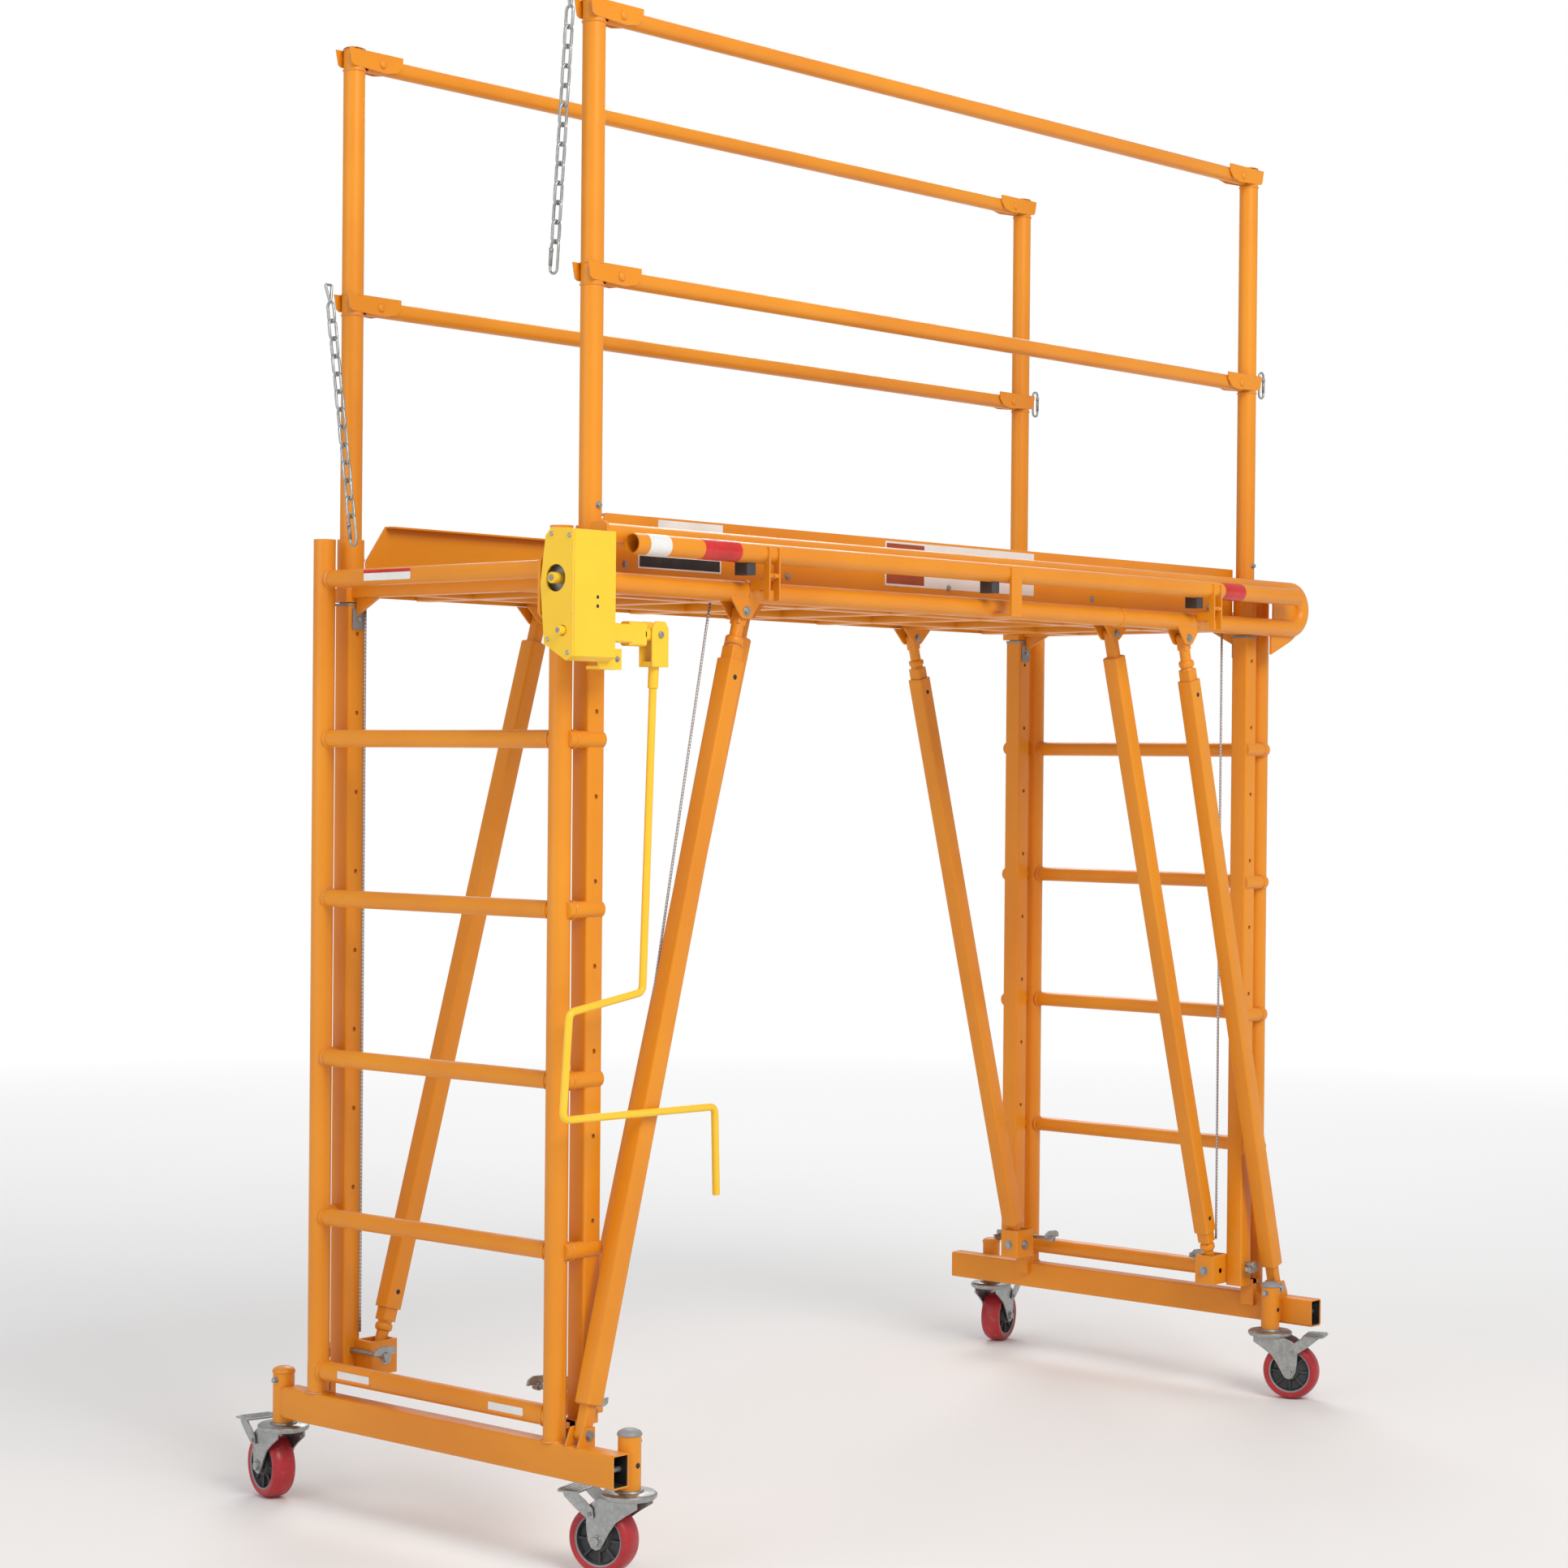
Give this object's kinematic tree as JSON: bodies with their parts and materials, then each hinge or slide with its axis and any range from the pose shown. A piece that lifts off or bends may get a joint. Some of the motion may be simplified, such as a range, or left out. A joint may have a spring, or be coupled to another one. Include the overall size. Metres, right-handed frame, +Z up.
{
  "type": "baker scaffold with winch lift",
  "caption": "Rolling baker scaffold: two end ladders on braked casters, a platform raised on telescoping masts by a crank winch, braces, side boards and lift-out guardrails.",
  "frame": {"origin": "on the floor, under the middle of the whole scaffold, casters and winch included", "axes": "+X along the platform, from the winch end to the far end; +Y across it, from the bumper side to the plain side; +Z up"},
  "size_m": [2.544, 1.0812, 2.8229],
  "materials": {
    "orange_powder_coat": "semi-gloss",
    "yellow_paint": "gloss",
    "zinc": "satin",
    "red_polyurethane": "satin",
    "steel_cable": "satin",
    "plywood": "matte"
  },
  "bodies": {
    "base": {"near_end_ladder": "orange_powder_coat", "far_end_ladder": "orange_powder_coat", "near_front_cable": "steel_cable", "far_front_cable": "steel_cable", "near_rear_cable": "steel_cable"},
    "platform": {"deck_frame": "orange_powder_coat", "deck_panel": "plywood", "front_side_rail": "orange_powder_coat", "front_bumper_tube": "orange_powder_coat", "front_side_board": "orange_powder_coat", "rear_side_board": "orange_powder_coat", "near_front_inner_mast": "orange_powder_coat", "near_rear_inner_mast": "orange_powder_coat", "far_front_inner_mast": "orange_powder_coat", "far_rear_inner_mast": "orange_powder_coat", "winch_housing": "yellow_paint", "winch_cover": "yellow_paint"},
    "near_front_caster_fork": {"near_front_caster_fork": "zinc"},
    "near_front_caster_wheel": {"near_front_caster_wheel": "red_polyurethane"},
    "near_front_brake_pedal": {"near_front_brake_pedal": "zinc"},
    "near_front_foot_latch": {"near_front_foot_latch": "zinc"},
    "near_rear_caster_fork": {"near_rear_caster_fork": "zinc"},
    "near_rear_caster_wheel": {"near_rear_caster_wheel": "red_polyurethane"},
    "near_rear_brake_pedal": {"near_rear_brake_pedal": "zinc"},
    "near_rear_foot_latch": {"near_rear_foot_latch": "zinc"},
    "far_front_caster_fork": {"far_front_caster_fork": "zinc"},
    "far_front_caster_wheel": {"far_front_caster_wheel": "red_polyurethane"},
    "far_front_brake_pedal": {"far_front_brake_pedal": "zinc"},
    "far_front_foot_latch": {"far_front_foot_latch": "zinc"},
    "far_rear_caster_fork": {"far_rear_caster_fork": "zinc"},
    "far_rear_caster_wheel": {"far_rear_caster_wheel": "red_polyurethane"},
    "far_rear_brake_pedal": {"far_rear_brake_pedal": "zinc"},
    "far_rear_foot_latch": {"far_rear_foot_latch": "zinc"},
    "near_front_brace_lower_tube": {"near_front_brace_lower_tube": "orange_powder_coat"},
    "near_front_brace_upper_tube": {"near_front_brace_upper_tube": "orange_powder_coat"},
    "near_rear_brace_lower_tube": {"near_rear_brace_lower_tube": "orange_powder_coat"},
    "near_rear_brace_upper_tube": {"near_rear_brace_upper_tube": "orange_powder_coat"},
    "far_front_brace_lower_tube": {"far_front_brace_lower_tube": "orange_powder_coat"},
    "far_front_brace_upper_tube": {"far_front_brace_upper_tube": "orange_powder_coat"},
    "far_rear_brace_lower_tube": {"far_rear_brace_lower_tube": "orange_powder_coat"},
    "far_rear_brace_upper_tube": {"far_rear_brace_upper_tube": "orange_powder_coat"},
    "near_outer_brace_lower_tube": {"near_outer_brace_lower_tube": "orange_powder_coat"},
    "near_outer_brace_upper_tube": {"near_outer_brace_upper_tube": "orange_powder_coat"},
    "far_outer_brace_lower_tube": {"far_outer_brace_lower_tube": "orange_powder_coat"},
    "far_outer_brace_upper_tube": {"far_outer_brace_upper_tube": "orange_powder_coat"},
    "winch_input_shaft": {"winch_input_shaft": "yellow_paint"},
    "winch_crank": {"winch_crank": "yellow_paint"},
    "cable_drum": {"cable_drum": "yellow_paint"},
    "front_guardrail": {"near_front_guard_post": "orange_powder_coat", "far_front_guard_post": "orange_powder_coat", "front_mid_rail": "orange_powder_coat", "front_top_rail": "orange_powder_coat"},
    "near_front_chain": {"near_front_chain": "zinc"},
    "far_front_snap_hook": {"far_front_snap_hook": "zinc"},
    "rear_guardrail": {"near_rear_guard_post": "orange_powder_coat", "far_rear_guard_post": "orange_powder_coat", "rear_mid_rail": "orange_powder_coat", "rear_top_rail": "orange_powder_coat"},
    "near_rear_chain": {"near_rear_chain": "zinc"},
    "far_rear_snap_hook": {"far_rear_snap_hook": "zinc"}
  },
  "joints": [
    {"name": "platform_lift", "type": "slide", "parent": "base", "child": "platform", "axis": [0, 0, 1], "range_m": [0, 0.9144], "deforming": ["near_front_cable", "far_front_cable", "near_rear_cable"]},
    {"name": "near_front_swivel", "type": "hinge", "parent": "base", "child": "near_front_caster_fork", "pos_m": [-1.12399, -0.48058, 0.152], "axis": [0, 0, 1], "continuous": true},
    {"name": "near_front_wheel_turn", "type": "hinge", "parent": "near_front_caster_fork", "child": "near_front_caster_wheel", "pos_m": [-1.13693, -0.43228, 0.0635], "axis": [-0.9659, -0.2588, 0], "continuous": true},
    {"name": "near_front_brake", "type": "hinge", "parent": "near_front_caster_fork", "child": "near_front_brake_pedal", "pos_m": [-1.13952, -0.42262, 0.112], "axis": [-0.9659, -0.2588, 0], "range_deg": [0, 15]},
    {"name": "near_front_latch_turn", "type": "hinge", "parent": "base", "child": "near_front_foot_latch", "pos_m": [-1.09999, -0.29958, 0.3], "axis": [0, 1, 0], "range_deg": [0, 90]},
    {"name": "near_rear_swivel", "type": "hinge", "parent": "base", "child": "near_rear_caster_fork", "pos_m": [-1.16799, 0.40942, 0.152], "axis": [0, 0, 1], "continuous": true},
    {"name": "near_rear_wheel_turn", "type": "hinge", "parent": "near_rear_caster_fork", "child": "near_rear_caster_wheel", "pos_m": [-1.15674, 0.45814, 0.0635], "axis": [-0.9744, 0.225, 0], "continuous": true},
    {"name": "near_rear_brake", "type": "hinge", "parent": "near_rear_caster_fork", "child": "near_rear_brake_pedal", "pos_m": [-1.15449, 0.46788, 0.112], "axis": [-0.9744, 0.225, 0], "range_deg": [0, 15]},
    {"name": "near_rear_latch_turn", "type": "hinge", "parent": "base", "child": "near_rear_foot_latch", "pos_m": [-1.09999, 0.27042, 0.3], "axis": [0, 1, 0], "range_deg": [0, 90]},
    {"name": "far_front_swivel", "type": "hinge", "parent": "base", "child": "far_front_caster_fork", "pos_m": [1.05201, -0.41158, 0.152], "axis": [0, 0, 1], "continuous": true},
    {"name": "far_front_wheel_turn", "type": "hinge", "parent": "far_front_caster_fork", "child": "far_front_caster_wheel", "pos_m": [1.06911, -0.45857, 0.0635], "axis": [0.9397, 0.342, 0], "continuous": true},
    {"name": "far_front_brake", "type": "hinge", "parent": "far_front_caster_fork", "child": "far_front_brake_pedal", "pos_m": [1.07253, -0.46796, 0.112], "axis": [0.9397, 0.342, 0], "range_deg": [0, 15]},
    {"name": "far_front_latch_turn", "type": "hinge", "parent": "base", "child": "far_front_foot_latch", "pos_m": [1.02801, -0.29958, 0.3], "axis": [0, 1, 0], "range_deg": [0, 90]},
    {"name": "far_rear_swivel", "type": "hinge", "parent": "base", "child": "far_rear_caster_fork", "pos_m": [1.14101, 0.46242, 0.152], "axis": [0, 0, 1], "continuous": true},
    {"name": "far_rear_wheel_turn", "type": "hinge", "parent": "far_rear_caster_fork", "child": "far_rear_caster_wheel", "pos_m": [1.18953, 0.47452, 0.0635], "axis": [-0.2419, 0.9703, 0], "continuous": true},
    {"name": "far_rear_brake", "type": "hinge", "parent": "far_rear_caster_fork", "child": "far_rear_brake_pedal", "pos_m": [1.19923, 0.47693, 0.112], "axis": [-0.2419, 0.9703, 0], "range_deg": [0, 15]},
    {"name": "far_rear_latch_turn", "type": "hinge", "parent": "base", "child": "far_rear_foot_latch", "pos_m": [1.02801, 0.27042, 0.3], "axis": [0, 1, 0], "range_deg": [0, 90]},
    {"name": "near_front_brace_tilt", "type": "hinge", "parent": "base", "child": "near_front_brace_lower_tube", "pos_m": [-1.05599, -0.29458, 0.285], "axis": [0, -1, 0], "range_deg": [0, 7]},
    {"name": "near_front_brace_extend", "type": "slide", "parent": "near_front_brace_lower_tube", "child": "near_front_brace_upper_tube", "axis": [0.2791, 0, 0.9603], "range_m": [0, 0.9]},
    {"name": "near_rear_brace_tilt", "type": "hinge", "parent": "base", "child": "near_rear_brace_lower_tube", "pos_m": [-1.05599, 0.26542, 0.285], "axis": [0, -1, 0], "range_deg": [0, 7]},
    {"name": "near_rear_brace_extend", "type": "slide", "parent": "near_rear_brace_lower_tube", "child": "near_rear_brace_upper_tube", "axis": [0.2791, 0, 0.9603], "range_m": [0, 0.9]},
    {"name": "far_front_brace_tilt", "type": "hinge", "parent": "base", "child": "far_front_brace_lower_tube", "pos_m": [0.98401, -0.29458, 0.285], "axis": [0, 1, 0], "range_deg": [0, 7]},
    {"name": "far_front_brace_extend", "type": "slide", "parent": "far_front_brace_lower_tube", "child": "far_front_brace_upper_tube", "axis": [-0.2791, 0, 0.9603], "range_m": [0, 0.9]},
    {"name": "far_rear_brace_tilt", "type": "hinge", "parent": "base", "child": "far_rear_brace_lower_tube", "pos_m": [0.98401, 0.26542, 0.285], "axis": [0, 1, 0], "range_deg": [0, 7]},
    {"name": "far_rear_brace_extend", "type": "slide", "parent": "far_rear_brace_lower_tube", "child": "far_rear_brace_upper_tube", "axis": [-0.2791, 0, 0.9603], "range_m": [0, 0.9]},
    {"name": "near_outer_brace_tilt", "type": "hinge", "parent": "base", "child": "near_outer_brace_lower_tube", "pos_m": [-1.15999, -0.39958, 0.246], "axis": [0, -1, 0], "range_deg": [0, 7]},
    {"name": "near_outer_brace_extend", "type": "slide", "parent": "near_outer_brace_lower_tube", "child": "near_outer_brace_upper_tube", "axis": [0.2597, 0, 0.9657], "range_m": [0, 0.9]},
    {"name": "far_outer_brace_tilt", "type": "hinge", "parent": "base", "child": "far_outer_brace_lower_tube", "pos_m": [1.08801, -0.39958, 0.246], "axis": [0, 1, 0], "range_deg": [0, 7]},
    {"name": "far_outer_brace_extend", "type": "slide", "parent": "far_outer_brace_lower_tube", "child": "far_outer_brace_upper_tube", "axis": [-0.2597, 0, 0.9657], "range_m": [0, 0.9]},
    {"name": "winch_input_turn", "type": "hinge", "parent": "platform", "child": "winch_input_shaft", "pos_m": [-1.11599, -0.43258, 1.668], "axis": [1, 0, 0], "range_deg": [-110, 0]},
    {"name": "winch_crank_swing", "type": "hinge", "parent": "winch_input_shaft", "child": "winch_crank", "pos_m": [-1.02899, -0.43258, 1.668], "axis": [0, 1, 0], "range_deg": [-75, 10]},
    {"name": "cable_drum_turn", "type": "hinge", "parent": "platform", "child": "cable_drum", "pos_m": [-1.21199, -0.41458, 1.76], "axis": [1, 0, 0], "range_deg": [0, 1750]},
    {"name": "front_guardrail_lift_out", "type": "slide", "parent": "platform", "child": "front_guardrail", "axis": [0, 0, 1], "range_m": [0, 0.12]},
    {"name": "near_front_chain_swing", "type": "hinge", "parent": "front_guardrail", "child": "near_front_chain", "pos_m": [-1.15949, -0.33958, 2.80775], "axis": [1, 0, 0], "range_deg": [0, 50]},
    {"name": "far_front_snap_hook_swing", "type": "hinge", "parent": "front_guardrail", "child": "far_front_snap_hook", "pos_m": [1.08751, -0.33958, 2.33675], "axis": [1, 0, 0], "range_deg": [-25, 25]},
    {"name": "rear_guardrail_lift_out", "type": "slide", "parent": "platform", "child": "rear_guardrail", "axis": [0, 0, 1], "range_m": [0, 0.12]},
    {"name": "near_rear_chain_swing", "type": "hinge", "parent": "rear_guardrail", "child": "near_rear_chain", "pos_m": [-1.15949, 0.31042, 2.33675], "axis": [-1, 0, 0], "range_deg": [0, 50]},
    {"name": "far_rear_snap_hook_swing", "type": "hinge", "parent": "rear_guardrail", "child": "far_rear_snap_hook", "pos_m": [1.08751, 0.31042, 2.33675], "axis": [1, 0, 0], "range_deg": [-25, 25]}
  ],
  "couplings": [
    {"joint": "near_front_brace_tilt", "follows": "platform_lift", "rad_per_m": 0.11669},
    {"joint": "near_front_brace_extend", "follows": "platform_lift", "ratio": 0.97516},
    {"joint": "near_rear_brace_tilt", "follows": "platform_lift", "rad_per_m": 0.11669},
    {"joint": "near_rear_brace_extend", "follows": "platform_lift", "ratio": 0.97516},
    {"joint": "far_front_brace_tilt", "follows": "platform_lift", "rad_per_m": 0.11669},
    {"joint": "far_front_brace_extend", "follows": "platform_lift", "ratio": 0.97516},
    {"joint": "far_rear_brace_tilt", "follows": "platform_lift", "rad_per_m": 0.11669},
    {"joint": "far_rear_brace_extend", "follows": "platform_lift", "ratio": 0.97516},
    {"joint": "near_outer_brace_tilt", "follows": "platform_lift", "rad_per_m": 0.10736},
    {"joint": "near_outer_brace_extend", "follows": "platform_lift", "ratio": 0.97844},
    {"joint": "far_outer_brace_tilt", "follows": "platform_lift", "rad_per_m": 0.10736},
    {"joint": "far_outer_brace_extend", "follows": "platform_lift", "ratio": 0.97844},
    {"joint": "cable_drum_turn", "follows": "platform_lift", "rad_per_m": 33.3}
  ]
}
